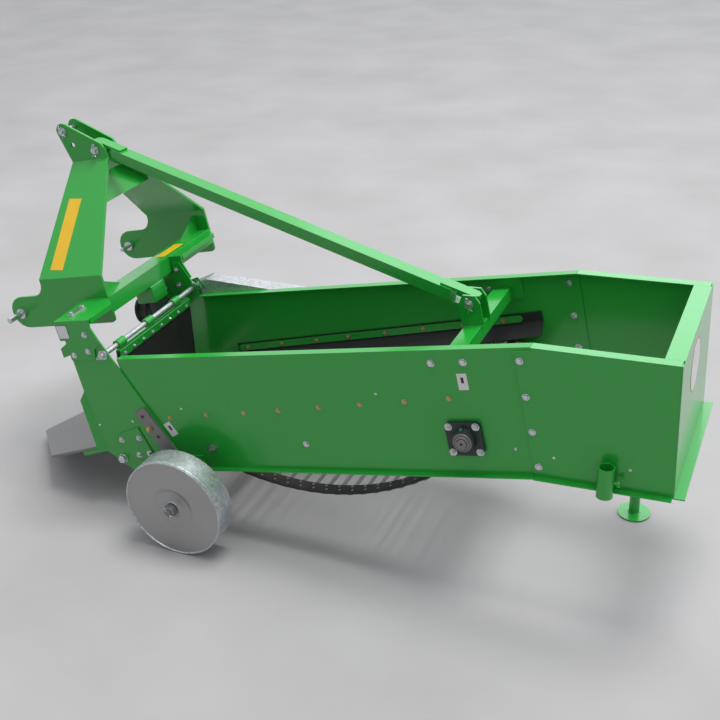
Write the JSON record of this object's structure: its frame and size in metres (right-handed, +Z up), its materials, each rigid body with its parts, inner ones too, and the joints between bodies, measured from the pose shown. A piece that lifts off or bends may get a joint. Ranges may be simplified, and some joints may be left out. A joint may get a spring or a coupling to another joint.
{
  "type": "potato digger",
  "caption": "Single-row elevator potato digger for a three-point linkage: sheet-metal tub with an endless web, pointed share, A-frame headstock, depth wheels and parking stand.",
  "frame": {"origin": "on the floor under the centre of the machine's outline, parked", "axes": "+X forward, towards the tractor; +Y to the machine's left; +Z up"},
  "size_m": [2.5751, 1.1872, 1.2809],
  "materials": {
    "green_paint": "satin green paint",
    "zinc": "galvanised",
    "bare_steel": "bare rolled steel",
    "black_rubber": "matt black",
    "cast_iron": "dark paint",
    "black_plastic": "black moulded"
  },
  "bodies": {
    "frame": {"beam_bracket_left": "green_paint", "beam_bracket_right": "green_paint", "bearing_left": "cast_iron", "bearing_right": "cast_iron", "brace_pin_front": "zinc", "brace_pin_rear": "zinc", "carrier_rollers": "bare_steel", "cheek_left": "green_paint", "cheek_right": "green_paint", "clamp_bar_left": "green_paint", "clamp_bar_right": "green_paint", "cross_shaft": "black_plastic", "crossbar": "green_paint", "crossbeam": "green_paint", "curtain_rod": "zinc", "drive_guard": "zinc", "drive_shaft": "bare_steel", "front_roller": "bare_steel", "gearbox": "green_paint", "headstock_leg_left": "green_paint", "headstock_leg_right": "green_paint", "hitch_pin_left": "zinc", "hitch_pin_right": "zinc", "leg_tie": "green_paint", "main_panel_left": "green_paint", "main_panel_right": "green_paint", "power_guard": "black_plastic", "power_stub": "bare_steel", "rear_plate": "green_paint", "rear_side_left": "green_paint", "rear_side_right": "green_paint", "return_bracket_left": "green_paint", "return_bracket_right": "green_paint", "return_roller": "bare_steel", "seal_strip_left": "black_rubber", "seal_strip_right": "black_rubber", "share": "bare_steel", "share_frame": "green_paint", "stand_socket_left": "green_paint", "stand_socket_right": "green_paint", "top_brace": "green_paint", "top_link_pin": "zinc", "web": "black_rubber", "wheel_arm_left": "bare_steel", "wheel_arm_right": "bare_steel"},
    "wheel_left": {"depth_wheel_left": "zinc"},
    "wheel_right": {"depth_wheel_right": "zinc"},
    "stand": {"parking_stand": "green_paint"},
    "curtain": {"curtain_hanger": "green_paint", "curtain_sheet": "black_rubber"}
  },
  "joints": [
    {"name": "wheel_left_spin", "type": "hinge", "parent": "frame", "child": "wheel_left", "pos_m": [0.36223, 0.52165, 0.185], "axis": [0, 1, 0], "continuous": true},
    {"name": "wheel_right_spin", "type": "hinge", "parent": "frame", "child": "wheel_right", "pos_m": [0.36223, -0.32095, 0.185], "axis": [0, 1, 0], "continuous": true},
    {"name": "stand_slide", "type": "slide", "parent": "frame", "child": "stand", "axis": [0, 0, 1], "range_m": [0, 0.3]},
    {"name": "curtain_swing", "type": "hinge", "parent": "frame", "child": "curtain", "pos_m": [0.68381, 0.10035, 0.64206], "axis": [0, 1, 0], "range_deg": [-25, 50]}
  ]
}
